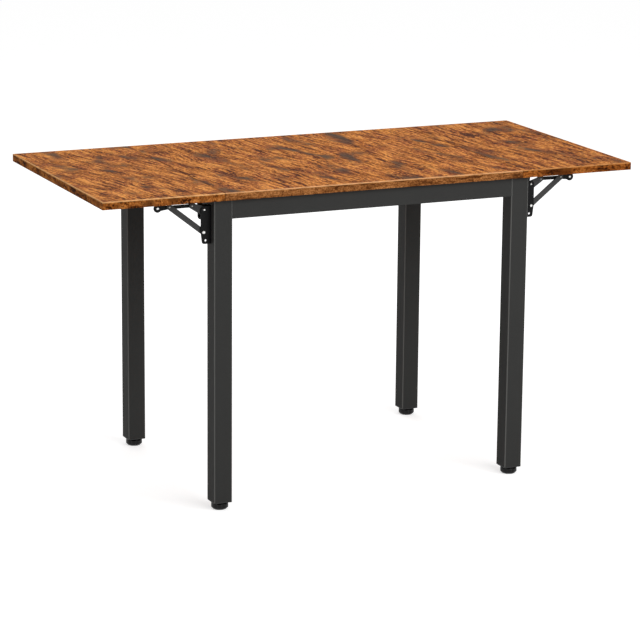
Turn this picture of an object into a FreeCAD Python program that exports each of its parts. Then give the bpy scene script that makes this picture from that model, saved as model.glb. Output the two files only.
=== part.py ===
import FreeCAD, Part
import math
import os
import Sketcher
from FreeCAD import Vector

# Drop-leaf dining table: a fixed centre panel on a steel frame, with a folding leaf at each end that is
# carried by two folding brackets. +X runs along the table, +Y to the rear, +Z up, and the origin is on the
# floor under the middle. All lengths are in millimetres.

driving_sizes = {
    # table top
    "table_depth": 640.0,
    "table_height": 750.0,
    "top_thickness": 18.0,
    "leaf_length": 291.5,
    "seam_gap": 1.0,
    "seam_inset": 22.0,  # seam to the outer face of the legs
    "top_arris": 1.2,
    # frame
    "leg_span": 800.0,  # outer face to outer face along X
    "leg_inset": 12.0,  # leg front to the front edge of the top
    "leg_size": 45.0,
    "leg_wall": 1.5,
    "leg_corner": 3.0,
    "apron_height": 45.0,
    "apron_thickness": 20.0,
    "apron_recess": 1.0,
    "rail_height": 28.0,
    "rail_thickness": 20.0,
    "rail_wall": 1.2,
    "gusset_arm": 60.0,
    "gusset_thickness": 3.0,
    "cap_thickness": 2.0,
    # feet
    "plug_flange": 2.0,
    "plug_depth": 26.0,
    "pad_height": 18.0,
    "pad_base_radius": 16.0,
    "pad_rim_radius": 20.0,
    "pad_rim_low": 4.5,
    "pad_rim_high": 13.0,
    "pad_rim_round": 2.5,
    "pad_neck_radius": 17.5,
    "pad_neck_low": 16.0,
    "pad_scallop_radius": 6.0,
    "pad_scallop_bite": 1.2,
    "stud_radius": 4.0,
    "stud_length": 36.0,
    "stud_seat": 5.0,  # height of the stud's lower end inside the pad
    # bracket, measured from the leaf's pivot: out from the leg and up
    "bracket_shift": 9.0,  # bracket's middle behind the leg's
    "pivot_out": 16.5,
    "pivot_drop": 23.0,
    "channel_width": 26.0,
    "channel_sheet": 2.0,
    "channel_reach": 8.5,
    "channel_toe_reach": 6.0,
    "channel_above": 7.5,
    "channel_below": 79.0,
    "channel_round": 5.5,
    "toe_hole_radius": 2.6,
    "toe_hole_in": 3.0,  # from the pivot towards the leg
    "toe_hole_drop": 71.0,
    "channel_ear_reach": 6.5,
    "channel_ear_below": 27.0,
    "ear_radius": 8.0,
    "corner_round": 1.0,
    "strut_foot_out": 1.5,
    "strut_foot_drop": 52.0,
    "strut_head_out": 82.0,
    "strut_head_rise": 11.0,
    "strut_half_width": 6.5,
    "bar_sheet": 2.5,
    "arm_length": 123.0,
    "arm_start": 6.0,  # arm's inner end, inside the pivot
    "arm_sheet": 2.5,
    "arm_ear_start": 1.0,
    "arm_ear_out": 10.0,
    "hinge_radius": 7.0,
    "brace_toe_out": 3.0,
    "brace_toe_drop": 8.0,
    "brace_toe_radius": 5.5,
    "tab_half_width": 8.0,
    "tab_sheet": 2.0,
    "lever_pivot_out": 28.0,
    "lever_pivot_rise": 9.6,
    "lever_end_out": 109.0,
    "lever_end_rise": 9.0,
    "lever_half_width": 4.0,
    "lever_neck_out": 74.0,  # from here the lever widens to its end
    "lever_neck_radius": 3.0,
    "lever_tip_radius": 7.0,
    "lever_lobe_radius": 9.5,
    "lever_sheet": 2.0,
    # rivets and screws
    "head_room": 2.0,  # between the channel's front flange and the bars
    "head_height": 1.5,
    "head_slope": 1.1,  # a front head is narrower by this at its face
    "hinge_pin_radius": 2.0,
    "hinge_head_radius": 2.8,
    "strut_pin_radius": 3.0,
    "strut_pin_head_radius": 4.0,
    "collar_radius": 5.0,
    "small_rivet_radius": 1.8,
    "small_head_radius": 2.7,
    "knob_pin_radius": 2.0,
    "knob_head_radius": 3.4,
    "knob_radius": 5.0,
    "knob_length": 8.0,
    "screw_radius": 2.0,
    "screw_head_radius": 4.0,
    "screw_head_height": 2.0,
    "screw_bite": 11.0,
    "leg_screw_bite": 8.0,
    "pilot_spare": 1.0,
    "channel_screw_first": 26.0,  # below the pivot
    "channel_screw_last": 67.0,
    "arm_screw_first": 45.0,
    "arm_screw_pitch": 32.0,
    "arm_screw_offset": 2.0,  # behind the bracket's middle
    "gusset_screw_inset": 14.0,
    # fits
    "running_clearance": 0.05,
    "fixed_clearance": 0.02,
    "side_clearance": 0.3,
    "plug_clearance": 0.1,
}

arm_screw_count = 3
scallop_count = 8
sides = (("left", -1), ("right", 1))
ends = (("front", -1), ("rear", 1))
corners = [(end, end_sign, side, side_sign) for end, end_sign in ends for side, side_sign in sides]

doc = FreeCAD.newDocument("drop_leaf_table")
sheet = doc.addObject("Spreadsheet::Sheet", "Sizes")
for row, (name, number) in enumerate(driving_sizes.items(), start=1):
    sheet.set(f"A{row}", name)
    sheet.set(f"B{row}", str(number))
    sheet.setAlias(f"B{row}", name)
doc.recompute()


class Size:
    # a number together with the spreadsheet formula that gives it
    def __init__(self, formula, value):
        self.formula = formula
        self.value = value

    def __add__(self, other):
        other = as_size(other)
        return Size(f"({self.formula} + {other.formula})", self.value + other.value)

    def __sub__(self, other):
        other = as_size(other)
        return Size(f"({self.formula} - {other.formula})", self.value - other.value)

    def __mul__(self, other):
        other = as_size(other)
        return Size(f"({self.formula} * {other.formula})", self.value * other.value)

    def __truediv__(self, other):
        other = as_size(other)
        return Size(f"({self.formula} / {other.formula})", self.value / other.value)

    def __neg__(self):
        return self * -1


def as_size(number):
    return number if isinstance(number, Size) else Size(str(float(number)), float(number))


class Sheet:
    # the driving dimensions by name, as sizes
    def __getattr__(self, name):
        return Size(f"Sizes.{name}", float(sheet.get(name)))


dim = Sheet()
zero = as_size(0)

# places that several pieces share
underside = dim.table_height - dim.top_thickness
leg_outer = dim.leg_span / 2
leg_half = dim.leg_size / 2
leg_x = leg_outer - leg_half
leg_front = dim.table_depth / 2 - dim.leg_inset
leg_y = leg_front - leg_half
leg_bottom = dim.pad_height + dim.plug_flange
leg_bore = dim.leg_size - dim.leg_wall * 2
seam = leg_outer - dim.seam_inset
pivot_x = leg_outer + dim.pivot_out
pivot_z = underside - dim.pivot_drop

# the bracket's layers along Y, from its front flange back to its rear ear
flange_front = -dim.channel_width / 2
flange_back = flange_front + dim.channel_sheet
bar_front = flange_back + dim.head_room
bar_back = bar_front + dim.bar_sheet
tab_back = bar_back + dim.tab_sheet
lever_front = tab_back + dim.side_clearance
lever_back = lever_front + dim.lever_sheet
channel_ear_back = dim.channel_width / 2
channel_ear_front = channel_ear_back - dim.channel_sheet
arm_ear_back = channel_ear_front - dim.side_clearance
arm_ear_front = arm_ear_back - dim.arm_sheet
arm_bottom = dim.pivot_drop - dim.arm_sheet

nodes = []


def keep(item, label):
    item.Label = label
    nodes.append(item)


def bracket_y(end_sign):
    return leg_y * end_sign + dim.bracket_shift


def set_place(item, x, y, z):
    for axis, size in (("x", x), ("y", y), ("z", z)):
        item.setExpression(f"Placement.Base.{axis}", as_size(size).formula)


def new_body(label, x=zero, y=zero, z=zero):
    body = doc.addObject("PartDesign::Body", label)
    set_place(body, x, y, z)
    return body


def new_sketch(body, role, offset=zero):
    plane = [item for item in body.Origin.OriginFeatures if item.Role == role][0]
    sketch = body.newObject("Sketcher::SketchObject", "outline")
    sketch.AttachmentSupport = [(plane, "")]
    sketch.MapMode = "FlatFace"
    sketch.setExpression("AttachmentOffset.Base.z", offset.formula)
    return sketch


def tie(sketch, size, kind, *where):
    index = sketch.addConstraint(Sketcher.Constraint(kind, *where, size.value))
    sketch.setExpression(f"Constraints[{index}]", size.formula)


def tie_point(sketch, geometry, point, across, up):
    tie(sketch, across, "DistanceX", -1, 1, geometry, point)
    tie(sketch, up, "DistanceY", -1, 1, geometry, point)


def draw_circle(sketch, across, up, radius):
    middle = Vector(across.value, up.value, 0)
    circle = sketch.addGeometry(Part.Circle(middle, Vector(0, 0, 1), radius.value))
    tie_point(sketch, circle, 3, across, up)
    tie(sketch, radius, "Radius", circle)


def draw_polygon(sketch, points):
    places = [Vector(across.value, up.value, 0) for across, up in points]
    lines = [
        sketch.addGeometry(Part.LineSegment(start, finish))
        for start, finish in zip(places, places[1:] + places[:1])
    ]
    for line, after in zip(lines, lines[1:] + lines[:1]):
        sketch.addConstraint(Sketcher.Constraint("Coincident", line, 2, after, 1))
    for line, (across, up) in zip(lines, points):
        tie_point(sketch, line, 1, across, up)


def draw_rectangle(sketch, left, low, right, high):
    draw_polygon(sketch, [(left, low), (right, low), (right, high), (left, high)])


def draw_hull(sketch, circles):
    # straight sides drawn tangent to circles (across, up, radius), which round the corners of the outline
    count = len(circles)
    middles = [Vector(across.value, up.value, 0) for across, up, radius in circles]
    turn = sum((a.x * b.y - a.y * b.x) for a, b in zip(middles, middles[1:] + middles[:1]))
    if turn < 0:
        circles = circles[::-1]
        middles = middles[::-1]
    radii = [radius.value for across, up, radius in circles]
    normals = []
    for here in range(count):
        there = (here + 1) % count
        step = middles[there] - middles[here]
        lean = (radii[here] - radii[there]) / step.Length
        along = step / step.Length
        right = Vector(along.y, -along.x, 0)
        normals.append(along * lean + right * math.sqrt(1 - lean * lean))
    arcs = []
    sides_drawn = []
    for here in range(count):
        there = (here + 1) % count
        before = normals[here - 1]
        start = math.atan2(before.y, before.x)
        finish = math.atan2(normals[here].y, normals[here].x)
        circle = Part.Circle(middles[here], Vector(0, 0, 1), radii[here])
        arcs.append(sketch.addGeometry(Part.ArcOfCircle(circle, start, finish)))
        side_start = middles[here] + normals[here] * radii[here]
        side_finish = middles[there] + normals[here] * radii[there]
        sides_drawn.append(sketch.addGeometry(Part.LineSegment(side_start, side_finish)))
    for here in range(count):
        there = (here + 1) % count
        sketch.addConstraint(Sketcher.Constraint("Tangent", arcs[here], 2, sides_drawn[here], 1))
        sketch.addConstraint(Sketcher.Constraint("Tangent", sides_drawn[here], 2, arcs[there], 1))
    for arc, (across, up, radius) in zip(arcs, circles):
        tie_point(sketch, arc, 3, across, up)
        tie(sketch, radius, "Radius", arc)


def draw_rounded_square(sketch, half, radius):
    place = half - radius
    draw_hull(sketch, [(x, y, radius) for x, y in
                       ((-place, -place), (place, -place), (place, place), (-place, place))])


def pad(body, sketch, length):
    feature = body.newObject("PartDesign::Pad", "pad")
    feature.Profile = sketch
    feature.setExpression("Length", length.formula)
    return feature


def pocket(body, sketch, depth, backwards=False):
    doc.recompute()
    volume_before = body.Shape.Volume
    feature = body.newObject("PartDesign::Pocket", "pocket")
    feature.Profile = sketch
    feature.Reversed = backwards
    feature.setExpression("Length", depth.formula)
    doc.recompute()
    if not body.Shape.Volume < volume_before:
        raise RuntimeError(f"a pocket in {body.Name} cuts nothing")
    return feature


def layer(body, front, back, hulls, holes=()):
    # a plate lying across Y between two layers of the bracket
    sketch = new_sketch(body, "XZ_Plane", -back)
    draw_hull(sketch, hulls)
    for across, up, radius in holes:
        draw_circle(sketch, across, up, radius)
    return pad(body, sketch, back - front)


def revolve(body, role, axis, points):
    sketch = new_sketch(body, role)
    draw_polygon(sketch, points)
    feature = body.newObject("PartDesign::Revolution", "turned")
    feature.Profile = sketch
    feature.ReferenceAxis = (sketch, [axis])
    return feature


def rivet_head(seat, radius):
    return seat - dim.head_height, seat, radius - dim.head_slope, radius


def turned(label, steps, role="XY_Plane"):
    # a pin turned from steps of (start, finish, radius) along the sketch's upright axis, where a step
    # with two radii tapers
    points = [(zero, steps[0][0])]
    for start, finish, *radii in steps:
        points += [(radii[0], start), (radii[-1], finish)]
    points.append((zero, steps[-1][1]))
    body = new_body(label)
    revolve(body, role, "V_Axis", points)
    doc.recompute()
    return body


def group(label, shapes):
    feature = doc.addObject("Part::Feature", label)
    feature.Shape = Part.makeCompound(shapes)
    keep(feature, label)


def moved(shape, x, y, z, turn_about_z=0):
    copy = shape.copy()
    turn = FreeCAD.Rotation(Vector(0, 0, 1), turn_about_z)
    copy.Placement = FreeCAD.Placement(Vector(x.value, y.value, z.value), turn)
    return copy


def mirrored(shape, x_sign, y_sign):
    if x_sign < 0:
        shape = shape.mirror(Vector(0, 0, 0), Vector(1, 0, 0))
    if y_sign < 0:
        shape = shape.mirror(Vector(0, 0, 0), Vector(0, 1, 0))
    return shape


arm_screw_outs = [dim.arm_screw_first + dim.arm_screw_pitch * step for step in range(arm_screw_count)]
gusset_hole_x = leg_outer - dim.leg_size - dim.gusset_screw_inset
gusset_hole_y = leg_front - dim.leg_size - dim.gusset_screw_inset


def make_panel(label, left, right, pilots):
    # a board with an eased top edge and blind pilot holes in its underside
    half_depth = dim.table_depth / 2
    body = new_body(label, z=underside)
    sketch = new_sketch(body, "XY_Plane")
    draw_rectangle(sketch, left, -half_depth, right, half_depth)
    board = pad(body, sketch, dim.top_thickness)
    holes = new_sketch(body, "XY_Plane")
    for x, y in pilots:
        draw_circle(holes, x, y, dim.screw_radius + dim.fixed_clearance)
    drilled = pocket(body, holes, dim.screw_bite + dim.pilot_spare, backwards=True)
    top = board.Shape.BoundBox.ZMax
    names = [
        f"Edge{index}"
        for index, edge in enumerate(drilled.Shape.Edges, start=1)
        if all(abs(vertex.Z - top) < dim.top_arris.value / 10 for vertex in edge.Vertexes)
    ]
    arris = body.newObject("PartDesign::Fillet", "arris")
    arris.Base = (drilled, names)
    arris.setExpression("Radius", dim.top_arris.formula)
    keep(body, label)


def make_top():
    half = seam - dim.seam_gap / 2
    centre_pilots = [
        (gusset_hole_x * side_sign, gusset_hole_y * end_sign) for end, end_sign, side, side_sign in corners
    ]
    make_panel("centre_panel", -half, half, centre_pilots)
    inner = seam + dim.seam_gap / 2
    for side, side_sign in sides:
        pilots = [
            ((pivot_x + out) * side_sign, bracket_y(end_sign) + dim.arm_screw_offset)
            for out in arm_screw_outs
            for end, end_sign in ends
        ]
        outer = inner + dim.leaf_length
        left, right = (inner, outer) if side_sign > 0 else (-outer, -inner)
        make_panel(f"{side}_leaf", left, right, pilots)


def make_leg(end, end_sign, side, side_sign):
    body = new_body(f"{end}_{side}_leg", leg_x * side_sign, leg_y * end_sign, leg_bottom)
    sketch = new_sketch(body, "XY_Plane")
    draw_rounded_square(sketch, leg_half, dim.leg_corner)
    draw_rounded_square(sketch, leg_bore / 2, dim.leg_corner - dim.leg_wall)
    pad(body, sketch, underside - leg_bottom)
    holes = new_sketch(body, "YZ_Plane", leg_half * side_sign)
    for drop in (dim.channel_screw_first, dim.channel_screw_last):
        height = pivot_z - drop - leg_bottom
        draw_circle(holes, dim.bracket_shift, height, dim.screw_radius + dim.fixed_clearance)
    pocket(body, holes, leg_half, backwards=side_sign < 0)
    keep(body, f"{end}_{side}_leg")


def make_rails():
    half_length = leg_outer - dim.leg_size
    half_depth = leg_front - dim.leg_size
    for end, end_sign in ends:
        front = (leg_front - dim.apron_recess) * end_sign
        back = front - dim.apron_thickness * end_sign
        low, high = (front, back) if end_sign < 0 else (back, front)
        body = new_body(f"{end}_apron", -half_length, zero, underside - dim.apron_height)
        sketch = new_sketch(body, "YZ_Plane")
        draw_rectangle(sketch, low, zero, high, dim.apron_height)
        draw_rectangle(sketch, low + dim.rail_wall, dim.rail_wall,
                       high - dim.rail_wall, dim.apron_height - dim.rail_wall)
        pad(body, sketch, half_length * 2)
        keep(body, f"{end}_apron")
    for side, side_sign in sides:
        half = dim.rail_thickness / 2
        body = new_body(f"{side}_side_rail", leg_x * side_sign, half_depth, underside - dim.rail_height)
        sketch = new_sketch(body, "XZ_Plane")
        draw_rectangle(sketch, -half, zero, half, dim.rail_height)
        draw_rectangle(sketch, -half + dim.rail_wall, dim.rail_wall,
                       half - dim.rail_wall, dim.rail_height - dim.rail_wall)
        pad(body, sketch, half_depth * 2)
        keep(body, f"{side}_side_rail")


def make_gussets():
    # flat plates in the corners of the frame, notched round the legs, that the centre panel is screwed to
    leg_inner_x = leg_outer - dim.leg_size
    leg_inner_y = leg_front - dim.leg_size
    apron_inner = leg_front - dim.apron_recess - dim.apron_thickness
    rail_inner = leg_x - dim.rail_thickness / 2
    body = new_body("gusset_shape", z=underside - dim.gusset_thickness)
    sketch = new_sketch(body, "XY_Plane")
    draw_polygon(sketch, [
        (leg_inner_x, leg_inner_y),
        (leg_inner_x, apron_inner),
        (leg_inner_x - dim.gusset_arm, apron_inner),
        (rail_inner, leg_inner_y - dim.gusset_arm),
        (rail_inner, leg_inner_y),
    ])
    draw_circle(sketch, gusset_hole_x, gusset_hole_y, dim.screw_radius + dim.side_clearance)
    pad(body, sketch, dim.gusset_thickness)
    doc.recompute()
    group("corner_gussets", [mirrored(body.Shape, side_sign, end_sign)
                             for end, end_sign, side, side_sign in corners])

    screw = turned("top_screw_shape", [
        (-dim.screw_head_height, zero, dim.screw_head_radius),
        (zero, dim.gusset_thickness + dim.screw_bite, dim.screw_radius),
    ], "XZ_Plane")
    head_seat = underside - dim.gusset_thickness
    group("top_screws", [
        moved(screw.Shape, gusset_hole_x * side_sign, gusset_hole_y * end_sign, head_seat)
        for end, end_sign, side, side_sign in corners
    ])


def make_leg_caps():
    side_length = leg_bore - dim.plug_clearance * 2
    body = new_body("leg_cap_shape")
    sketch = new_sketch(body, "XY_Plane")
    draw_rounded_square(sketch, side_length / 2, dim.leg_corner - dim.leg_wall)
    pad(body, sketch, dim.cap_thickness)
    doc.recompute()
    group("leg_caps", [
        moved(body.Shape, leg_x * side_sign, leg_y * end_sign, underside - dim.cap_thickness)
        for end, end_sign, side, side_sign in corners
    ])


def make_foot(end, end_sign, side, side_sign):
    x = leg_x * side_sign
    y = leg_y * end_sign
    stud_hole = dim.stud_radius + dim.running_clearance

    plug = new_body(f"{end}_{side}_leg_plug", x, y, dim.pad_height)
    flange = new_sketch(plug, "XY_Plane")
    draw_rounded_square(flange, leg_half, dim.leg_corner)
    draw_circle(flange, zero, zero, stud_hole)
    pad(plug, flange, dim.plug_flange)
    block = new_sketch(plug, "XY_Plane")
    draw_rounded_square(block, leg_bore / 2 - dim.plug_clearance, dim.leg_corner - dim.leg_wall)
    draw_circle(block, zero, zero, stud_hole)
    pad(plug, block, dim.plug_flange + dim.plug_depth)
    keep(plug, f"{end}_{side}_leg_plug")

    foot = new_body(f"{end}_{side}_foot_pad", x, y, zero)
    socket = dim.stud_radius + dim.fixed_clearance
    knob = revolve(foot, "XZ_Plane", "V_Axis", [
        (zero, zero),
        (dim.pad_base_radius, zero),
        (dim.pad_rim_radius, dim.pad_rim_low),
        (dim.pad_rim_radius, dim.pad_rim_high),
        (dim.pad_neck_radius, dim.pad_neck_low),
        (dim.pad_neck_radius, dim.pad_height),
        (socket, dim.pad_height),
        (socket, dim.stud_seat),
        (zero, dim.stud_seat),
    ])
    doc.recompute()
    round_edges = [
        f"Edge{index}"
        for index, edge in enumerate(knob.Shape.Edges, start=1)
        if isinstance(edge.Curve, Part.Circle)
        and abs(edge.Curve.Radius - dim.pad_rim_radius.value) < dim.pad_rim_round.value / 10
    ]
    rim = foot.newObject("PartDesign::Fillet", "rim")
    rim.Base = (knob, round_edges)
    rim.setExpression("Radius", dim.pad_rim_round.formula)
    scallop = new_sketch(foot, "XY_Plane")
    scallop_place = dim.pad_rim_radius + dim.pad_scallop_radius - dim.pad_scallop_bite
    draw_circle(scallop, scallop_place, zero, dim.pad_scallop_radius)
    cut = pocket(foot, scallop, dim.pad_height, backwards=True)
    pattern = foot.newObject("PartDesign::PolarPattern", "scallops")
    pattern.Originals = [cut]
    pattern.Axis = (scallop, ["N_Axis"])
    pattern.Occurrences = scallop_count
    foot.Tip = pattern
    keep(foot, f"{end}_{side}_foot_pad")

    stud = doc.addObject("Part::Cylinder", f"{end}_{side}_foot_stud")
    stud.setExpression("Radius", dim.stud_radius.formula)
    stud.setExpression("Height", dim.stud_length.formula)
    set_place(stud, x, y, dim.stud_seat)
    keep(stud, f"{end}_{side}_foot_stud")


def make_bracket(end, end_sign, side, side_sign):
    # one folding bracket, drawn about the leaf's pivot and turned to face its own side of the table
    def place(name):
        return new_body(f"{end}_{side}_{name}", pivot_x * side_sign, bracket_y(end_sign), pivot_z)

    def facing(circles):
        return [(across * side_sign, up, radius) for across, up, radius in circles]

    corner = dim.corner_round
    leg_face = -dim.pivot_out
    hinge_hole = dim.hinge_pin_radius + dim.fixed_clearance
    hinge_running = dim.hinge_pin_radius + dim.running_clearance
    strut_hole = dim.strut_pin_radius + dim.fixed_clearance
    strut_running = dim.strut_pin_radius + dim.running_clearance
    small_hole = dim.small_rivet_radius + dim.fixed_clearance
    toe_hole = (-dim.toe_hole_in, -dim.toe_hole_drop, dim.toe_hole_radius)
    strut_foot = (dim.strut_foot_out, -dim.strut_foot_drop)
    strut_head = (dim.strut_head_out, dim.strut_head_rise)
    lever_pivot = (dim.lever_pivot_out, dim.lever_pivot_rise)
    lever_neck = (dim.lever_neck_out, dim.lever_pivot_rise)
    lever_end = (dim.lever_end_out, dim.lever_end_rise)

    channel = place("channel")
    web_start = leg_face if side_sign > 0 else dim.pivot_out - dim.channel_sheet
    web = new_sketch(channel, "YZ_Plane", web_start)
    draw_rectangle(web, flange_front, -dim.channel_below, channel_ear_back, dim.channel_above)
    for drop in (dim.channel_screw_first, dim.channel_screw_last):
        draw_circle(web, zero, -drop, dim.screw_radius + dim.side_clearance)
    pad(channel, web, dim.channel_sheet)
    top = dim.channel_above - corner
    inner = leg_face + corner
    rounded_top = dim.channel_above - dim.ear_radius
    flange_turn = dim.channel_reach - dim.ear_radius
    toe_turn = dim.channel_toe_reach - dim.channel_round
    layer(channel, flange_front, flange_back, facing([
        (inner, top, corner),
        (inner, -dim.channel_below + corner, corner),
        (toe_turn, -dim.channel_below + dim.channel_round, dim.channel_round),
        (flange_turn, -dim.strut_foot_drop, dim.ear_radius),
        (flange_turn, rounded_top, dim.ear_radius),
    ]), facing([(zero, zero, hinge_hole), (*strut_foot, strut_hole), toe_hole]))
    ear_turn = dim.channel_ear_reach - dim.ear_radius
    layer(channel, channel_ear_front, channel_ear_back, facing([
        (inner, top, corner),
        (inner, -dim.channel_ear_below + corner, corner),
        (ear_turn, -dim.channel_ear_below + dim.ear_radius, dim.ear_radius),
        (ear_turn, rounded_top, dim.ear_radius),
    ]), facing([(zero, zero, hinge_hole)]))
    keep(channel, f"{end}_{side}_channel")

    arm = place("arm")
    plate = new_sketch(arm, "XY_Plane", arm_bottom)
    plate_ends = [-dim.arm_start * side_sign, dim.arm_length * side_sign]
    low, high = plate_ends if side_sign > 0 else plate_ends[::-1]
    draw_rectangle(plate, low, bar_back, high, arm_ear_back)
    for out in arm_screw_outs:
        draw_circle(plate, out * side_sign, dim.arm_screw_offset, dim.screw_radius + dim.side_clearance)
    pad(arm, plate, dim.arm_sheet)
    ear_top = dim.pivot_drop - dim.arm_sheet / 2 - corner
    layer(arm, arm_ear_front, arm_ear_back, facing([
        (dim.arm_ear_start + corner, ear_top, corner),
        (zero, zero, dim.hinge_radius),
        (dim.arm_ear_out - corner, ear_top, corner),
    ]), facing([(zero, zero, hinge_running)]))
    layer(arm, bar_back, tab_back, facing([
        (dim.lever_pivot_out - dim.tab_half_width, ear_top, corner),
        (*lever_pivot, dim.strut_half_width),
        (dim.lever_pivot_out + dim.tab_half_width, ear_top, corner),
    ]), facing([(*lever_pivot, small_hole)]))
    keep(arm, f"{end}_{side}_arm")

    brace = place("hinge_brace")
    layer(brace, bar_front, bar_back, facing([
        (zero, zero, dim.hinge_radius),
        (dim.brace_toe_out, -dim.brace_toe_drop, dim.brace_toe_radius),
        (*lever_pivot, dim.strut_half_width),
    ]), facing([(zero, zero, hinge_running), (*lever_pivot, small_hole)]))
    keep(brace, f"{end}_{side}_hinge_brace")

    strut = place("strut")
    layer(strut, bar_front, bar_back, facing([
        (*strut_foot, dim.strut_half_width),
        (*strut_head, dim.strut_half_width),
    ]), facing([(*strut_foot, strut_running), (*strut_head, small_hole)]))
    keep(strut, f"{end}_{side}_strut")

    lever = place("release_lever")
    small_running = dim.small_rivet_radius + dim.running_clearance
    knob_hole = dim.knob_pin_radius + dim.fixed_clearance
    layer(lever, lever_front, lever_back, facing([
        (*lever_pivot, dim.lever_half_width),
        (*lever_end, dim.lever_half_width),
    ]), facing([(*lever_pivot, small_running), (*lever_end, knob_hole)]))
    layer(lever, lever_front, lever_back, facing([
        (*lever_neck, dim.lever_neck_radius),
        (*lever_end, dim.lever_tip_radius),
    ]), facing([(*lever_end, knob_hole)]))
    lobe = new_sketch(lever, "XZ_Plane", -lever_back)
    for across, up, radius in facing([(*lever_end, dim.lever_lobe_radius), (*lever_end, knob_hole)]):
        draw_circle(lobe, across, up, radius)
    pad(lever, lobe, dim.lever_sheet)
    keep(lever, f"{end}_{side}_release_lever")


def make_fasteners():
    collar_end = bar_front - dim.side_clearance
    hinge_rivet = turned("hinge_rivet_shape", [
        rivet_head(flange_front, dim.hinge_head_radius),
        (flange_front, flange_back, dim.hinge_pin_radius),
        (flange_back, collar_end, dim.collar_radius),
        (collar_end, channel_ear_back, dim.hinge_pin_radius),
        (channel_ear_back, channel_ear_back + dim.head_height, dim.hinge_head_radius),
    ])
    strut_tail = bar_back + dim.side_clearance
    strut_rivet = turned("strut_rivet_shape", [
        rivet_head(flange_front, dim.strut_pin_head_radius),
        (flange_front, flange_back, dim.strut_pin_radius),
        (flange_back, collar_end, dim.collar_radius),
        (collar_end, strut_tail, dim.strut_pin_radius),
        (strut_tail, strut_tail + dim.head_height / 2, dim.strut_pin_head_radius),
    ])
    head_rivet = turned("head_rivet_shape", [
        rivet_head(bar_front, dim.small_head_radius),
        (bar_front, bar_back, dim.small_rivet_radius),
    ])
    lever_tail = lever_back + dim.side_clearance
    lever_rivet = turned("lever_rivet_shape", [
        rivet_head(bar_front, dim.small_head_radius),
        (bar_front, lever_tail, dim.small_rivet_radius),
        (lever_tail, lever_tail + dim.head_height, dim.small_head_radius),
    ])
    knob = turned("knob_shape", [
        rivet_head(lever_front, dim.knob_head_radius),
        (lever_front, lever_back, dim.knob_pin_radius),
        (lever_back, lever_back + dim.knob_length, dim.knob_radius),
    ])
    arm_screw = turned("arm_screw_shape", [
        (-dim.screw_head_height, zero, dim.screw_head_radius),
        (zero, dim.arm_sheet + dim.screw_bite, dim.screw_radius),
    ], "XZ_Plane")
    leg_screw = new_body("leg_screw_shape")
    web_face = dim.channel_sheet
    revolve(leg_screw, "XY_Plane", "H_Axis", [
        (-dim.leg_screw_bite, zero),
        (-dim.leg_screw_bite, dim.screw_radius),
        (web_face, dim.screw_radius),
        (web_face, dim.screw_head_radius),
        (web_face + dim.screw_head_height, dim.screw_head_radius),
        (web_face + dim.screw_head_height, zero),
    ])
    doc.recompute()

    def at_bracket(shape, end_sign, side_sign, out=zero, up=zero):
        return moved(shape, (pivot_x + out) * side_sign, bracket_y(end_sign), pivot_z + up)

    group("frame_pivot_rivets", [
        at_bracket(shape, end_sign, side_sign, out, up)
        for end, end_sign, side, side_sign in corners
        for shape, out, up in (
            (hinge_rivet.Shape, zero, zero),
            (strut_rivet.Shape, dim.strut_foot_out, -dim.strut_foot_drop),
        )
    ])
    group("channel_screws", [
        moved(leg_screw.Shape, leg_outer * side_sign, bracket_y(end_sign), pivot_z - drop,
              0 if side_sign > 0 else 180)
        for end, end_sign, side, side_sign in corners
        for drop in (dim.channel_screw_first, dim.channel_screw_last)
    ])
    for side, side_sign in sides:
        group(f"{side}_lever_rivets", [
            at_bracket(lever_rivet.Shape, end_sign, side_sign, dim.lever_pivot_out, dim.lever_pivot_rise)
            for end, end_sign in ends
        ])
        group(f"{side}_arm_screws", [
            moved(arm_screw.Shape, (pivot_x + out) * side_sign, bracket_y(end_sign) + dim.arm_screw_offset,
                  pivot_z + arm_bottom)
            for end, end_sign in ends
            for out in arm_screw_outs
        ])
    for end, end_sign, side, side_sign in corners:
        group(f"{end}_{side}_strut_rivet", [
            at_bracket(head_rivet.Shape, end_sign, side_sign, dim.strut_head_out, dim.strut_head_rise)
        ])
        group(f"{end}_{side}_lever_knob", [
            at_bracket(knob.Shape, end_sign, side_sign, dim.lever_end_out, dim.lever_end_rise)
        ])


make_top()
make_rails()
make_gussets()
make_leg_caps()
for corner_place in corners:
    make_leg(*corner_place)
    make_foot(*corner_place)
    make_bracket(*corner_place)
make_fasteners()
doc.recompute()

failed = [item.Label for item in doc.Objects if "Invalid" in item.State or "Error" in item.State]
failed += [item.Label for item in nodes if item.Shape.isNull() or not item.Shape.isValid()]
if failed:
    raise RuntimeError(f"these did not build: {failed}")

os.makedirs("parts", exist_ok=True)
for item in nodes:
    item.Shape.exportStep(f"parts/{item.Label}.step")
print(len(nodes), "sub-parts written")
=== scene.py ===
import math

import bpy
from mathutils import Matrix, Vector


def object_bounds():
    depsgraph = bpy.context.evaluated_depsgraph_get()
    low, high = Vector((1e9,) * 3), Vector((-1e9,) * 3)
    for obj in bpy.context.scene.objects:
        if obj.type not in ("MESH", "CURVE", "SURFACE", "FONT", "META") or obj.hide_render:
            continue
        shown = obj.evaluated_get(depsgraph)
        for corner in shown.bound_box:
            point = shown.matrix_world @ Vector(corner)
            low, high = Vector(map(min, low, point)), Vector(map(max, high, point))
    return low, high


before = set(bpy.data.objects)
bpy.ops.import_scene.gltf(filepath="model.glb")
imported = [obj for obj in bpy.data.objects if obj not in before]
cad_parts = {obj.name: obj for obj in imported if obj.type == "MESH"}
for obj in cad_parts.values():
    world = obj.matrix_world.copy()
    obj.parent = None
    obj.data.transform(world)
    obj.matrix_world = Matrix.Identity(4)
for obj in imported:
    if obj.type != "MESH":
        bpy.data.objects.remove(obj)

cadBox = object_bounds()


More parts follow.
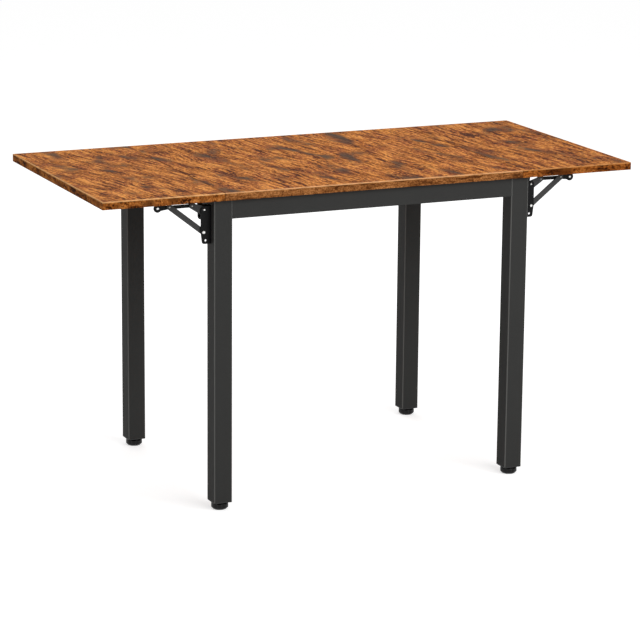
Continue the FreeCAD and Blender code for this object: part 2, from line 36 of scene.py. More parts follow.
def paint(red, green, blue):
    # a colour as it is read off a screen, 0 to 255, turned into the light that a shader works in
    def toLight(level):
        share = level / 255
        return share / 12.92 if share <= 0.04045 else ((share + 0.055) / 1.055) ** 2.4
    return (toLight(red), toLight(green), toLight(blue), 1.0)


def plug(tree, value, socket):
    # links a socket or sets a plain value; None leaves the socket as it is
    if isinstance(value, bpy.types.NodeSocket):
        tree.links.new(value, socket)
    elif value is not None:
        socket.default_value = value


def calc(tree, operation, first, second=None, third=None):
    node = tree.nodes.new("ShaderNodeMath")
    node.operation = operation
    for socket, value in zip(node.inputs, (first, second, third)):
        plug(tree, value, socket)
    return node.outputs[0]


def vectorCalc(tree, operation, first, second=None):
    node = tree.nodes.new("ShaderNodeVectorMath")
    node.operation = operation
    plug(tree, first, node.inputs[0])
    plug(tree, second, node.inputs[1])
    return node.outputs["Value" if operation in ("DOT_PRODUCT", "LENGTH") else "Vector"]


def dim(tree, colour, share):
    # the colour made darker or lighter by a share
    dimmed = vectorCalc(tree, "SCALE", colour)
    plug(tree, share, dimmed.node.inputs["Scale"])
    return dimmed


def split(tree, vector):
    node = tree.nodes.new("ShaderNodeSeparateXYZ")
    plug(tree, vector, node.inputs[0])
    return node.outputs


def join(tree, x, y, z):
    node = tree.nodes.new("ShaderNodeCombineXYZ")
    for socket, value in zip(node.inputs, (x, y, z)):
        plug(tree, value, socket)
    return node.outputs[0]


def inUnits(tree, place, unit):
    # a place counted in lengths of unit
    return vectorCalc(tree, "DIVIDE", place, join(tree, unit, unit, unit))


def fade(tree, value, low, high, start=0.0, end=1.0):
    # soft step from start to end while value goes from low to high
    node = tree.nodes.new("ShaderNodeMapRange")
    node.interpolation_type = "SMOOTHSTEP"
    for socket, item in zip(node.inputs, (value, low, high, start, end)):
        plug(tree, item, socket)
    return node.outputs[0]


def tint(tree, share, first, second):
    # mixes two colours; a mix node has those at inputs 6 and 7 and their mix at output 2
    node = tree.nodes.new("ShaderNodeMix")
    node.data_type = "RGBA"
    plug(tree, share, node.inputs[0])
    plug(tree, first, node.inputs[6])
    plug(tree, second, node.inputs[7])
    return node.outputs[2]


layerStep = (3.1, 1.7, 1.0)  # how far one layer of the noise lies from the next


def cloud(tree, place, size, detail, rough, layer):
    # noise from 0 to 1 whose lumps are size (across, along, deep) metres
    scaled = vectorCalc(tree, "MULTIPLY", place, tuple(1 / s for s in size))
    moved = vectorCalc(tree, "ADD", scaled, tuple(layer * step for step in layerStep))
    node = tree.nodes.new("ShaderNodeTexNoise")
    plug(tree, moved, node.inputs["Vector"])
    node.inputs["Scale"].default_value = 1.0
    node.inputs["Detail"].default_value = detail
    node.inputs["Roughness"].default_value = rough
    return node.outputs["Fac"]


def centred(tree, noise):
    # noise lies about one half; this puts it about zero
    return calc(tree, "SUBTRACT", noise, 0.5)


socketKinds = {"value": "NodeSocketFloat", "colour": "NodeSocketColor", "vector": "NodeSocketVector"}


def newGroup(name, inputs, outputs):
    # an input with None for its value gets one from every material that uses the group
    tree = bpy.data.node_groups.new(name, "ShaderNodeTree")
    for label, (kind, value) in inputs.items():
        socket = tree.interface.new_socket(label, in_out="INPUT", socket_type=socketKinds[kind])
        if value is not None:
            socket.default_value = value
    for label, kind in outputs.items():
        tree.interface.new_socket(label, in_out="OUTPUT", socket_type=socketKinds[kind])
    return tree, tree.nodes.new("NodeGroupInput").outputs, tree.nodes.new("NodeGroupOutput").inputs


def useGroup(tree, group, values):
    node = tree.nodes.new("ShaderNodeGroup")
    node.node_tree = group
    for label, value in values.items():
        plug(tree, value, node.inputs[label])
    return node.outputs


def newFinish(name, constants):
    # a material with only its shader; constants go on the shader's own sockets
    finish = bpy.data.materials.new(name + "_finish")
    finish.use_nodes = True
    tree = finish.node_tree
    tree.nodes.clear()
    shader = tree.nodes.new("ShaderNodeBsdfPrincipled")
    for label, value in constants.items():
        shader.inputs[label].default_value = value
    output = tree.nodes.new("ShaderNodeOutputMaterial")
    tree.links.new(shader.outputs[0], output.inputs["Surface"])
    coords = tree.nodes.new("ShaderNodeTexCoord").outputs
    return finish, tree, shader.inputs, coords


def addRelief(tree, shader, height, depth, normal=None):
    bump = tree.nodes.new("ShaderNodeBump")
    bump.inputs["Strength"].default_value = 1.0
    bump.inputs["Distance"].default_value = depth
    plug(tree, height, bump.inputs["Height"])
    plug(tree, normal, bump.inputs["Normal"])
    tree.links.new(bump.outputs[0], shader["Normal"])


# rustic print: honey board with a mix of warm hues, fine dark dashes and smoky patches with a cool core
# each noise: size of its lumps in metres (across, along, deep), detail, roughness, layer
# each step: where it starts and ends, and its shares there if they aren't 0 and 1
printLook = {
    "swayNoise": ((0.16, 0.30, 1.0), 2.0, 0.50, 0.0), "swayReach": 0.060,
    "toneNoise": ((0.045, 0.130, 1.0), 3.0, 0.60, 1.0), "toneShare": 0.22,
    "streakNoise": ((0.0125, 0.110, 1.0), 3.0, 0.60, 2.0), "streakShare": 0.46,
    "fineNoise": ((0.0058, 0.0135, 1.0), 2.0, 0.55, 3.0), "fineShare": 0.32,
    "middleStep": (0.435, 0.490), "lightStep": (0.492, 0.575),
    "hueNoise": ((0.060, 0.120, 1.0), 3.0, 0.60, 7.0), "rosyStep": (0.42, 0.62, 0.0, 0.75),
    "glintNoise": ((0.0090, 0.0300, 1.0), 2.0, 0.60, 4.0), "glintStep": (0.60, 0.70, 0.0, 0.85),
    "smokeNoise": ((0.080, 0.150, 1.0), 2.0, 0.55, 5.0), "smokeStreak": 0.45, "smokeFine": 0.30,
    "hazeStep": (0.555, 0.645, 0.0, 0.60), "coreStep": (0.61, 0.72, 0.0, 0.80), "rimSmoke": 0.5,
    "dashNoise": ((0.0072, 0.0118, 1.0), 5.0, 0.70, 8.0), "dashStep": (0.54, 0.65, 0.0, 0.94),
    "fibreNoise": ((0.0011, 0.0400, 1.0), 3.0, 0.60, 10.0), "fibreShade": 0.70,
    "rough": 0.52, "dashRough": 0.10, "fineRough": 0.16,
    "fibreHeight": 0.6, "fineHeight": 0.35, "dashHeight": -0.8,
}


def makePrintGroup(look):
    tree, given, out = newGroup("rusticPrint", {
        "Place": ("vector", None), "Fineness": ("vector", (1.0, 1.0, 1.0)), "Slant": ("value", 0.0),
        "Light Tone": ("colour", None), "Middle Tone": ("colour", None), "Dark Tone": ("colour", None),
        "Rose Tone": ("colour", None), "Smoke Tone": ("colour", None),
        "Smoke": ("value", 1.0), "Glint": ("value", 1.0),
    }, {"Colour": "colour", "Roughness": "value", "Height": "value"})
    place = vectorCalc(tree, "MULTIPLY", given["Place"], given["Fineness"])
    sway = centred(tree, cloud(tree, place, *look["swayNoise"]))
    lean = calc(tree, "MULTIPLY", split(tree, place)[1], given["Slant"])
    reach = calc(tree, "MULTIPLY_ADD", sway, look["swayReach"], lean)
    bent = vectorCalc(tree, "ADD", place, join(tree, reach, 0.0, 0.0))

    # ground: dark to middle to light by streaks, fine grain and slow changes of tone, and rosy in places
    tone = cloud(tree, bent, *look["toneNoise"])
    streak = cloud(tree, bent, *look["streakNoise"])
    fine = cloud(tree, bent, *look["fineNoise"])
    mixed = calc(tree, "MULTIPLY", fine, look["fineShare"])
    mixed = calc(tree, "MULTIPLY_ADD", streak, look["streakShare"], mixed)
    mixed = calc(tree, "MULTIPLY_ADD", tone, look["toneShare"], mixed)
    rosy = fade(tree, cloud(tree, bent, *look["hueNoise"]), *look["rosyStep"])
    middle = tint(tree, rosy, given["Middle Tone"], given["Rose Tone"])
    colour = tint(tree, fade(tree, mixed, *look["middleStep"]), given["Dark Tone"], middle)
    colour = tint(tree, fade(tree, mixed, *look["lightStep"]), colour, given["Light Tone"])

    # short light glints
    glint = fade(tree, cloud(tree, bent, *look["glintNoise"]), *look["glintStep"])
    colour = tint(tree, calc(tree, "MULTIPLY", glint, given["Glint"]), colour, given["Light Tone"])

    # smoky patches with a ragged outline: brown at the rim, cool in the middle
    rim = tint(tree, look["rimSmoke"], given["Dark Tone"], given["Smoke Tone"])
    smoke = cloud(tree, bent, *look["smokeNoise"])
    smoke = calc(tree, "MULTIPLY_ADD", centred(tree, streak), look["smokeStreak"], smoke)
    smoke = calc(tree, "MULTIPLY_ADD", centred(tree, fine), look["smokeFine"], smoke)
    haze = calc(tree, "MULTIPLY", fade(tree, smoke, *look["hazeStep"]), given["Smoke"])
    core = calc(tree, "MULTIPLY", fade(tree, smoke, *look["coreStep"]), given["Smoke"])
    colour = tint(tree, core, tint(tree, haze, colour, rim), given["Smoke Tone"])

    # dark dashes over everything
    dash = fade(tree, cloud(tree, bent, *look["dashNoise"]), *look["dashStep"])
    colour = tint(tree, dash, colour, given["Dark Tone"])

    # fibres, which show only from near by
    fibre = centred(tree, cloud(tree, bent, *look["fibreNoise"]))
    shade = calc(tree, "MULTIPLY_ADD", fibre, look["fibreShade"], 1.0)

    plug(tree, dim(tree, colour, shade), out["Colour"])
    rough = calc(tree, "MULTIPLY_ADD", dash, look["dashRough"], look["rough"])
    plug(tree, calc(tree, "MULTIPLY_ADD", fine, look["fineRough"], rough), out["Roughness"])
    height = calc(tree, "MULTIPLY", fine, look["fineHeight"])
    height = calc(tree, "MULTIPLY_ADD", fibre, look["fibreHeight"], height)
    plug(tree, calc(tree, "MULTIPLY_ADD", dash, look["dashHeight"], height), out["Height"])
    return tree


# faces of a board: one whose normal rises or falls less than levelFacing is an edge band
boardFaceLook = {
    "levelFacing": 0.72,
    # the pale line is rubbed wear together with a painted highlight on the top's outer edges
    "arrisWidth": 0.0032, "arrisCore": 0.4,  # pale line on the top's outer edges, and the share that is full
}


def makeBoardFaceGroup(look, tableCorner):
    # lays the print along the top and along each edge band, and finds the pale line of rubbed wear and
    # painted highlight on the top's outer edges
    tree, given, out = newGroup("boardFaces", {
        "Place": ("vector", None), "Facing": ("vector", None), "Shift": ("vector", None),
        "Layer": ("value", None),
    }, {
        "Grain Place": "vector", "Band Place": "vector",
        "Band": "value", "Underside": "value", "Arris": "value",
    })
    place = split(tree, vectorCalc(tree, "ADD", given["Place"], given["Shift"]))
    facing = split(tree, given["Facing"])
    lean = split(tree, vectorCalc(tree, "ABSOLUTE", given["Facing"]))
    isFront = calc(tree, "GREATER_THAN", lean[1], lean[0])
    along = calc(tree, "MULTIPLY_ADD", isFront, calc(tree, "SUBTRACT", place[0], place[1]), place[1])
    plug(tree, join(tree, place[0], place[1], given["Layer"]), out["Grain Place"])
    plug(tree, join(tree, place[2], along, given["Layer"]), out["Band Place"])
    plug(tree, calc(tree, "LESS_THAN", lean[2], look["levelFacing"]), out["Band"])
    plug(tree, calc(tree, "LESS_THAN", facing[2], -look["levelFacing"]), out["Underside"])

    spot = split(tree, given["Place"])
    fromEnd = calc(tree, "SUBTRACT", tableCorner[0], calc(tree, "ABSOLUTE", spot[0]))
    fromSide = calc(tree, "SUBTRACT", tableCorner[1], calc(tree, "ABSOLUTE", spot[1]))
    fromTop = calc(tree, "SUBTRACT", tableCorner[2], spot[2])
    inset = calc(tree, "ADD", calc(tree, "MINIMUM", fromEnd, fromSide), fromTop)
    arris = fade(tree, inset, look["arrisWidth"], look["arrisWidth"] * look["arrisCore"])
    plug(tree, arris, out["Arris"])
    return tree


# coat on steel and plastic: fine orange peel, faint cloudiness and a little dust on what faces up
coatEffect = {
    "peelNoise": ((1.0, 1.0, 1.0), 2.0, 0.50, 0.0), "peelShade": 0.10,  # lumps in units of the peel's size
    "patchNoise": ((0.05, 0.05, 0.09), 3.0, 0.55, 1.0), "patchRough": 0.14,
    "gritNoise": ((0.012, 0.012, 0.012), 4.0, 0.65, 2.0), "gritStep": (0.45, 0.75),
    "upStep": (0.6, 1.0), "dustTone": paint(150, 146, 140), "dustRough": 0.6,
    "cornerHighlightStep": (0.10, 0.45),
}


def makeCoatGroup(look):
    tree, given, out = newGroup("powderCoat", {
        "Place": ("vector", None), "Facing": ("vector", None), "Tone": ("colour", None),
        "Peel Size": ("value", None), "Cloudiness": ("value", None),
        "Gloss": ("value", None), "Dust": ("value", None),
    }, {"Colour": "colour", "Roughness": "value", "Height": "value", "Corner Highlight": "value"})
    peel = cloud(tree, inUnits(tree, given["Place"], given["Peel Size"]), *look["peelNoise"])
    patch = centred(tree, cloud(tree, given["Place"], *look["patchNoise"]))
    shade = calc(tree, "MULTIPLY_ADD", patch, given["Cloudiness"], 1.0)
    shade = calc(tree, "MULTIPLY_ADD", centred(tree, peel), look["peelShade"], shade)
    upward = fade(tree, split(tree, given["Facing"])[2], *look["upStep"])
    grit = fade(tree, cloud(tree, given["Place"], *look["gritNoise"]), *look["gritStep"])
    dust = calc(tree, "MULTIPLY", calc(tree, "MULTIPLY", upward, grit), given["Dust"])
    plug(tree, tint(tree, dust, dim(tree, given["Tone"], shade), look["dustTone"]), out["Colour"])
    matt = calc(tree, "SUBTRACT", 1.0, given["Gloss"])
    rough = calc(tree, "MULTIPLY_ADD", patch, look["patchRough"], matt)
    plug(tree, calc(tree, "MULTIPLY_ADD", dust, look["dustRough"], rough), out["Roughness"])
    plug(tree, peel, out["Height"])

    # painted highlight: rounded upright corners of a square tube, where the normal lies between two sides
    lean = split(tree, vectorCalc(tree, "ABSOLUTE", given["Facing"]))
    between = calc(tree, "MINIMUM", lean[0], lean[1])
    plug(tree, fade(tree, between, *look["cornerHighlightStep"]), out["Corner Highlight"])
    return tree


# edges: where a rounded normal turns away from the flat one, broken up by small chips; it marks worn paint
# edges and the painted shade on zinc rims
edgeEffect = {
    "samples": 6, "turnStep": (0.02, 0.20),
    "chipNoise": ((1.0, 1.0, 1.0), 3.0, 0.60, 7.0),  # lumps in units of the chip's size
    "chipStep": (0.35, 0.65),
}


def makeEdgeGroup(look):
    tree, given, out = newGroup("edgeWearAndRimShade", {
        "Place": ("vector", None), "Width": ("value", None), "Chip Size": ("value", None),
    }, {"Mask": "value", "Soft Normal": "vector"})
    bevel = tree.nodes.new("ShaderNodeBevel")
    bevel.samples = look["samples"]
    plug(tree, given["Width"], bevel.inputs["Radius"])
    flat = tree.nodes.new("ShaderNodeNewGeometry").outputs["Normal"]
    turn = calc(tree, "SUBTRACT", 1.0, vectorCalc(tree, "DOT_PRODUCT", bevel.outputs[0], flat))
    chip = cloud(tree, inUnits(tree, given["Place"], given["Chip Size"]), *look["chipNoise"])
    chip = fade(tree, chip, *look["chipStep"])
    plug(tree, calc(tree, "MULTIPLY", fade(tree, turn, *look["turnStep"]), chip), out["Mask"])
    plug(tree, bevel.outputs[0], out["Soft Normal"])
    return tree


# bare zinc: short rubs and duller spots
zincEffect = {
    "rubNoise": ((0.0006, 0.0030, 0.0006), 3.0, 0.60, 0.0), "rough": 0.18, "rubRough": 0.22,
    "spotNoise": ((0.0025, 0.0025, 0.0025), 3.0, 0.60, 1.0),
}


def makeZincGroup(look):
    tree, given, out = newGroup("turnedZinc", {
        "Place": ("vector", None), "Tone": ("colour", None), "Spots": ("value", None),
    }, {"Colour": "colour", "Roughness": "value", "Height": "value"})
    rub = cloud(tree, given["Place"], *look["rubNoise"])
    spot = centred(tree, cloud(tree, given["Place"], *look["spotNoise"]))
    shade = calc(tree, "MULTIPLY_ADD", spot, given["Spots"], 1.0)
    plug(tree, dim(tree, given["Tone"], shade), out["Colour"])
    plug(tree, calc(tree, "MULTIPLY_ADD", rub, look["rubRough"], look["rough"]), out["Roughness"])
    plug(tree, rub, out["Height"])
    return tree


rusticPrint = makePrintGroup(printLook)
boardFaces = makeBoardFaceGroup(boardFaceLook, cadBox[1])
powderCoat = makeCoatGroup(coatEffect)
edgeWearAndRimShade = makeEdgeGroup(edgeEffect)
turnedZinc = makeZincGroup(zincEffect)
print("stage 2: shared effects made,", len(bpy.data.node_groups), "groups")

finishes = {}

# the three boards: the same print from different places of the roll
boardLooks = {
    "centre_board": {
        "layer": 0.0, "shift": (0.0, 0.0, 0.0), "fineness": (1.40, 1.05, 1.0), "slant": 0.15, "smoke": 1.0,
        "light": paint(240, 160, 80), "middle": paint(181, 105, 42), "dark": paint(74, 33, 10),
        "rose": paint(158, 82, 44), "smokeTone": paint(68, 61, 53), "arrisWearAndHighlightTone": paint(234, 174, 120),
        "bandLight": paint(190, 126, 72), "bandMiddle": paint(152, 95, 50), "bandDark": paint(84, 46, 19),
        "bandFineness": (1.0, 1.0, 1.0), "bandSpeckle": 0.60, "bandSmoke": 0.2,
    },
    "left_board": {
        "layer": 3.0, "shift": (0.31, 0.17, 0.0), "fineness": (1.35, 1.30, 1.0), "slant": 0.24, "smoke": 0.9,
        "light": paint(242, 162, 82), "middle": paint(184, 107, 44), "dark": paint(76, 35, 10),
        "rose": paint(161, 85, 46), "smokeTone": paint(72, 64, 54), "arrisWearAndHighlightTone": paint(248, 188, 126),
        "bandLight": paint(216, 138, 68), "bandMiddle": paint(158, 90, 37), "bandDark": paint(56, 24, 6),
        "bandFineness": (1.0, 2.5, 1.0), "bandSpeckle": 0.24, "bandSmoke": 0.8,
    },
    "right_board": {
        "layer": 7.0, "shift": (-0.22, 0.41, 0.0), "fineness": (0.90, 0.95, 1.0), "slant": 0.05, "smoke": 1.1,
        "light": paint(228, 150, 75), "middle": paint(172, 99, 40), "dark": paint(70, 32, 10),
        "rose": paint(150, 78, 42), "smokeTone": paint(68, 61, 53), "arrisWearAndHighlightTone": paint(206, 142, 84),
        "bandLight": paint(176, 104, 44), "bandMiddle": paint(122, 64, 21), "bandDark": paint(54, 23, 6),
        "bandFineness": (1.0, 1.8, 1.0), "bandSpeckle": 0.15, "bandSmoke": 0.7,
    },
}

# what the three boards have in common
boardShared = {
    "specular": 0.02, "relief": 0.00012, "bandGlint": 0.3, "bandRough": 0.06, "undersideShade": 0.35,
    "speckleNoise": ((0.0032, 0.0046, 1.0), 2.0, 0.60, 9.0), "speckleStep": (0.46, 0.58),
    "rubNoise": ((0.020, 0.020, 0.020), 3.0, 0.60, 4.0), "rubAndHighlightStep": (0.30, 0.60, 0.55, 1.0),
}


def makeBoardFinish(name, look, shared):
    finish, tree, shader, coords = newFinish(name, {"Specular IOR Level": shared["specular"]})
    faces = useGroup(tree, boardFaces, {
        "Place": coords["Object"], "Facing": coords["Normal"], "Shift": look["shift"], "Layer": look["layer"],
    })
    top = useGroup(tree, rusticPrint, {
        "Place": faces["Grain Place"], "Fineness": look["fineness"], "Slant": look["slant"],
        "Light Tone": look["light"], "Middle Tone": look["middle"], "Dark Tone": look["dark"],
        "Rose Tone": look["rose"], "Smoke Tone": look["smokeTone"], "Smoke": look["smoke"],
    })
    band = useGroup(tree, rusticPrint, {
        "Place": faces["Band Place"], "Fineness": look["bandFineness"], "Glint": shared["bandGlint"],
        "Light Tone": look["bandLight"], "Middle Tone": look["bandMiddle"], "Dark Tone": look["bandDark"],
        "Rose Tone": look["bandMiddle"], "Smoke Tone": look["bandDark"], "Smoke": look["bandSmoke"],
    })
    speckle = fade(tree, cloud(tree, faces["Band Place"], *shared["speckleNoise"]), *shared["speckleStep"])
    speckle = calc(tree, "MULTIPLY", speckle, look["bandSpeckle"])
    bandColour = tint(tree, speckle, band["Colour"], look["bandDark"])
    colour = tint(tree, faces["Band"], top["Colour"], bandColour)
    # painted shade: faces turned downward are tinted towards the dark tone
    underside = calc(tree, "MULTIPLY", faces["Underside"], shared["undersideShade"])
    colour = tint(tree, underside, colour, look["dark"])
    # painted highlight and rubbed wear: the top's outer edges made paler, broken up by noise
    rubbedAndHighlit = fade(tree, cloud(tree, coords["Object"], *shared["rubNoise"]), *shared["rubAndHighlightStep"])
    colour = tint(tree, calc(tree, "MULTIPLY", faces["Arris"], rubbedAndHighlit), colour, look["arrisWearAndHighlightTone"])
    plug(tree, colour, shader["Base Color"])
    rough = calc(tree, "MULTIPLY_ADD", faces["Band"], shared["bandRough"], top["Roughness"])
    plug(tree, rough, shader["Roughness"])
    addRelief(tree, shader, top["Height"], shared["relief"])
    return finish


for slotName, look in boardLooks.items():
    finishes[slotName] = makeBoardFinish(slotName, look, boardShared)
print("stage 3: board finishes made")


def layCoat(tree, coords, look):
    return useGroup(tree, powderCoat, {
        "Place": coords["Object"], "Facing": coords["Normal"], "Tone": look["tone"], "Gloss": look["gloss"],
        "Peel Size": look["peel"], "Cloudiness": look["cloudiness"], "Dust": look["dust"],
    })


# painted steel: worn edges, and a painted highlight on the upright corners of the square tubes; worn and
# highlit paint is smoother by polish
coatLooks = {
    "frame_steel": {
        "tone": paint(57, 57, 56), "gloss": 0.40, "specular": 0.05, "cloudiness": 0.12, "dust": 0.06,
        "peel": 0.0013, "peelDepth": 0.00004, "wornAndHighlightTone": paint(112, 112, 110), "polish": 0.12,
        "edge": 0.0016, "chip": 0.012, "wear": 0.25, "corner": 0.85,
    },
    "bracket_black": {
        "tone": paint(10, 10, 11), "gloss": 0.55, "specular": 0.11, "cloudiness": 0.12, "dust": 0.04,
        "peel": 0.0007, "peelDepth": 0.00002, "wornAndHighlightTone": paint(70, 69, 68), "polish": 0.12,
        "edge": 0.0005, "chip": 0.003, "wear": 0.30, "corner": 0.0,
    },
    "bracket_grey": {
        "tone": paint(56, 56, 56), "gloss": 0.52, "specular": 0.22, "cloudiness": 0.12, "dust": 0.04,
        "peel": 0.0007, "peelDepth": 0.00002, "wornAndHighlightTone": paint(120, 120, 120), "polish": 0.12,
        "edge": 0.0005, "chip": 0.003, "wear": 0.35, "corner": 0.0,
    },
}


def makeCoatFinish(name, look):
    finish, tree, shader, coords = newFinish(name, {"Specular IOR Level": look["specular"]})
    coat = layCoat(tree, coords, look)
    edge = useGroup(tree, edgeWearAndRimShade, {
        "Place": coords["Object"], "Width": look["edge"], "Chip Size": look["chip"],
    })
    # painted highlight on the tube corners, together with the chipped edge wear
    corner = calc(tree, "MULTIPLY", coat["Corner Highlight"], look["corner"])
    wornAndHighlit = calc(tree, "MAXIMUM", calc(tree, "MULTIPLY", edge["Mask"], look["wear"]), corner)
    plug(tree, tint(tree, wornAndHighlit, coat["Colour"], look["wornAndHighlightTone"]), shader["Base Color"])
    plug(tree, calc(tree, "MULTIPLY_ADD", wornAndHighlit, -look["polish"], coat["Roughness"]), shader["Roughness"])
    addRelief(tree, shader, coat["Height"], look["peelDepth"], edge["Soft Normal"])
    return finish


for slotName, look in coatLooks.items():
    finishes[slotName] = makeCoatFinish(slotName, look)
print("stage 4: painted steel finishes made")

# zinc rivets, screws and studs: a dark, rougher rim of painted shade round each head
zincLooks = {
    "rivet_steel": {
        "tone": paint(214, 214, 212), "spots": 0.30, "depth": 0.00003,
        "rimShadeTone": paint(40, 40, 40), "rimWidth": 0.0010, "rim": 0.9, "rimChip": 0.003, "rimRough": 0.3,
    },
    "dull_rivets": {
        "tone": paint(142, 142, 140), "spots": 0.30, "depth": 0.00003,
        "rimShadeTone": paint(34, 34, 34), "rimWidth": 0.0010, "rim": 0.9, "rimChip": 0.003, "rimRough": 0.3,
    },
    "screw_steel": {
        "tone": paint(150, 150, 152), "spots": 0.35, "depth": 0.00003,
        "rimShadeTone": paint(52, 52, 52), "rimWidth": 0.0008, "rim": 0.6, "rimChip": 0.003, "rimRough": 0.3,
    },
    "stud_steel": {
        "tone": paint(178, 178, 176), "spots": 0.40, "depth": 0.00004,
        "rimShadeTone": paint(70, 70, 69), "rimWidth": 0.0006, "rim": 0.5, "rimChip": 0.003, "rimRough": 0.3,
    },
}


def makeZincFinish(name, look):
    finish, tree, shader, coords = newFinish(name, {"Metallic": 1.0})
    zinc = useGroup(tree, turnedZinc, {
        "Place": coords["Object"], "Tone": look["tone"], "Spots": look["spots"],
    })
    edge = useGroup(tree, edgeWearAndRimShade, {
        "Place": coords["Object"], "Width": look["rimWidth"], "Chip Size": look["rimChip"],
    })
    # painted shade: a dark ring round the rim of each head
    rimShade = calc(tree, "MULTIPLY", edge["Mask"], look["rim"])
    plug(tree, tint(tree, rimShade, zinc["Colour"], look["rimShadeTone"]), shader["Base Color"])
    plug(tree, calc(tree, "MULTIPLY_ADD", rimShade, look["rimRough"], zinc["Roughness"]), shader["Roughness"])
    addRelief(tree, shader, zinc["Height"], look["depth"])
    return finish


for slotName, look in zincLooks.items():
    finishes[slotName] = makeZincFinish(slotName, look)

# moulded plastic: matt plugs in the legs and glossy feet
plasticLooks = {
    "plug_plastic": {
        "tone": paint(30, 30, 30), "gloss": 0.45, "specular": 0.40, "cloudiness": 0.25, "dust": 0.10,
        "peel": 0.0006, "peelDepth": 0.00003,
    },
    "foot_plastic": {
        "tone": paint(8, 8, 8), "gloss": 0.88, "specular": 0.20, "cloudiness": 0.25, "dust": 0.03,
        "peel": 0.0030, "peelDepth": 0.00003,
    },
}


def makePlasticFinish(name, look):
    finish, tree, shader, coords = newFinish(name, {"Specular IOR Level": look["specular"]})
    coat = layCoat(tree, coords, look)
    plug(tree, coat["Colour"], shader["Base Color"])
    plug(tree, coat["Roughness"], shader["Roughness"])
    addRelief(tree, shader, coat["Height"], look["peelDepth"])
    return finish


for slotName, look in plasticLooks.items():
    finishes[slotName] = makePlasticFinish(slotName, look)
print("stage 5: zinc and plastic finishes made")

# rivets of the bars are duller than those of the channels and knobs
dullEndings = ("_lever_rivets", "_strut_rivet")
unmatched = []
for nodeName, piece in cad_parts.items():
    for holder in piece.material_slots:
        slotName = holder.material.name.split(".")[0] if holder.material else ""
        if nodeName.endswith(dullEndings):
            holder.material = finishes["dull_rivets"]
        elif slotName in finishes:
            holder.material = finishes[slotName]
        else:
            unmatched.append((nodeName, slotName))
print("stage 6: finishes on", len(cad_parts), "nodes, without one:", unmatched)

# pale floor that shows white and keeps the soft shadows at the feet; further out it glows a little more
floorLook = {
    "halfSize": 40.0, "tone": (0.80, 0.80, 0.80, 1.0),
    "nearGlow": 0.60, "farGlow": 0.72, "nearReach": 0.62, "farReach": 1.60,
}


def seenDirectly(tree):
    # 1 for what the camera sees, itself or in gloss and glass
    path = tree.nodes.new("ShaderNodeLightPath").outputs
    both = calc(tree, "MAXIMUM", path["Is Glossy Ray"], path["Is Transmission Ray"])
    return calc(tree, "MAXIMUM", path["Is Camera Ray"], both)


def makeFloor(look):
    half = look["halfSize"]
    corners = [(-half, -half, 0), (half, -half, 0), (half, half, 0), (-half, half, 0)]
    mesh = bpy.data.meshes.new("studioFloor")
    mesh.from_pydata(corners, [], [(0, 1, 2, 3)])
    floor = bpy.data.objects.new("studioFloor", mesh)
    bpy.context.scene.collection.objects.link(floor)
    finish = bpy.data.materials.new("studioFloorFinish")
    finish.use_nodes = True
    tree = finish.node_tree
    tree.nodes.clear()
    matt = tree.nodes.new("ShaderNodeBsdfDiffuse")
    matt.inputs["Color"].default_value = look["tone"]
    reach = vectorCalc(tree, "LENGTH", tree.nodes.new("ShaderNodeTexCoord").outputs["Object"])
    level = fade(tree, reach, look["nearReach"], look["farReach"], look["nearGlow"], look["farGlow"])
    glow = tree.nodes.new("ShaderNodeEmission")
    plug(tree, calc(tree, "MULTIPLY", seenDirectly(tree), level), glow.inputs["Strength"])
    both = tree.nodes.new("ShaderNodeAddShader")
    tree.links.new(matt.outputs[0], both.inputs[0])
    tree.links.new(glow.outputs[0], both.inputs[1])
    output = tree.nodes.new("ShaderNodeOutputMaterial")
    tree.links.new(both.outputs[0], output.inputs["Surface"])
    mesh.materials.append(finish)


makeFloor(floorLook)

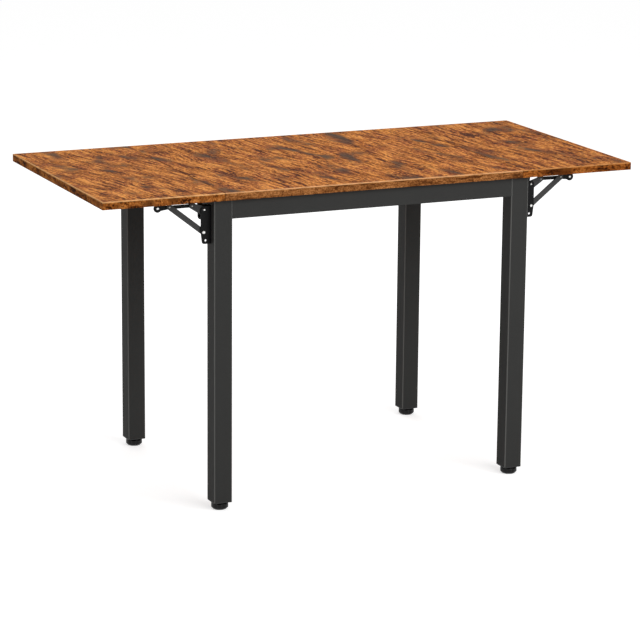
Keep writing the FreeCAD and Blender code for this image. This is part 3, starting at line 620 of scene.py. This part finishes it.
# soft studio light: an even sky, which shows white, and four large panels
skyLook = {"tone": (1.0, 1.0, 1.0, 1.0), "strength": 0.33, "seen": 1.0}
lampLooks = {
    "frontLamp": {
        "place": (1.2, -3.4, 2.4), "aim": (0.0, 0.0, 0.45), "width": 3.2, "height": 2.2, "power": 92.0,
    },
    "leftLamp": {
        "place": (-3.4, -1.2, 2.2), "aim": (0.0, 0.0, 0.5), "width": 2.4, "height": 2.0, "power": 2.0,
    },
    "topLamp": {
        "place": (0.2, 0.3, 3.4), "aim": (0.0, 0.0, 0.75), "width": 3.0, "height": 2.4, "power": 18.0,
    },
    "rearLamp": {
        "place": (0.4, 3.0, 3.4), "aim": (0.0, 0.0, 0.45), "width": 3.2, "height": 1.6, "power": 34.0,
    },
}


def makeSky(look):
    world = bpy.data.worlds.new("studioSky")
    world.use_nodes = True
    tree = world.node_tree
    sky = tree.nodes["Background"]
    sky.inputs["Color"].default_value = look["tone"]
    extra = look["seen"] - look["strength"]
    strength = calc(tree, "MULTIPLY_ADD", seenDirectly(tree), extra, look["strength"])
    plug(tree, strength, sky.inputs["Strength"])
    bpy.context.scene.world = world


def makeLamp(name, look):
    data = bpy.data.lights.new(name, "AREA")
    data.shape = "RECTANGLE"
    data.size = look["width"]
    data.size_y = look["height"]
    data.energy = look["power"]
    lamp = bpy.data.objects.new(name, data)
    lamp.location = look["place"]
    away = Vector(look["place"]) - Vector(look["aim"])
    lamp.rotation_euler = away.to_track_quat("Z", "Y").to_euler()
    bpy.context.scene.collection.objects.link(lamp)


makeSky(skyLook)
for lampName, look in lampLooks.items():
    makeLamp(lampName, look)

# camera: place in metres, angles in degrees, lens and sensor in millimetres
cameraLook = {
    "place": (-2.706, -6.046, 1.968), "turn": 24.12, "tilt": 13.73, "roll": 0.52,
    "lens": 157.56, "sensor": 36.0,
}


def makeCamera(look):
    data = bpy.data.cameras.new("tableCamera")
    data.sensor_width = look["sensor"]
    data.lens = look["lens"]
    turn, tilt, roll = (math.radians(look[key]) for key in ("turn", "tilt", "roll"))
    ahead = Vector((math.sin(turn) * math.cos(tilt), math.cos(turn) * math.cos(tilt), -math.sin(tilt)))
    level = Vector((math.cos(turn), -math.sin(turn), 0.0))
    rise = level.cross(ahead)
    side = level * math.cos(roll) + rise * math.sin(roll)
    up = rise * math.cos(roll) - level * math.sin(roll)
    camera = bpy.data.objects.new("tableCamera", data)
    rotation = Matrix((side, up, -ahead)).transposed().to_4x4()
    camera.matrix_world = Matrix.Translation(look["place"]) @ rotation
    bpy.context.scene.collection.objects.link(camera)
    bpy.context.scene.camera = camera


makeCamera(cameraLook)
bpy.context.scene.view_settings.view_transform = "Standard"
print("stage 7: floor, light and camera set")
